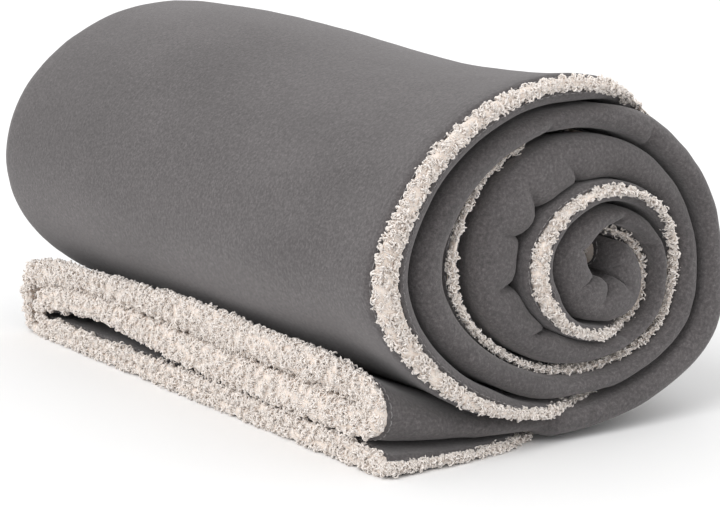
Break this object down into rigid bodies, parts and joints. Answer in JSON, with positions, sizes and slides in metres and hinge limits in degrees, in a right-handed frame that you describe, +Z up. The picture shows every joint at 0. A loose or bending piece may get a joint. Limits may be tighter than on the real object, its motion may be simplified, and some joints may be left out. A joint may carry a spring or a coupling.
{
  "type": "folded throw blanket",
  "caption": "Sherpa-lined throw folded lengthwise into a strip and rolled up, with the strip's loose end as a tail under the roll.",
  "frame": {"origin": "bottom centre of the roll's bounding box, on the surface that it rests on", "axes": "+Z up, +Y along the roll with the open hems at -Y, +X across the roll with the tail's end at -X"},
  "size_m": [0.22, 0.381, 0.186],
  "materials": {
    "fleece": "grey brushed microfleece, matt with a soft nap",
    "sherpa": "cream curly sherpa pile",
    "thread": "grey sewing thread"
  },
  "bodies": {
    "root": {"fleece_face": "fleece", "sherpa_lining": "sherpa", "hem_thread_side_a": "thread", "hem_thread_side_b": "thread", "hem_thread_tail_end": "thread", "hem_thread_core_end": "thread"}
  },
  "joints": []
}
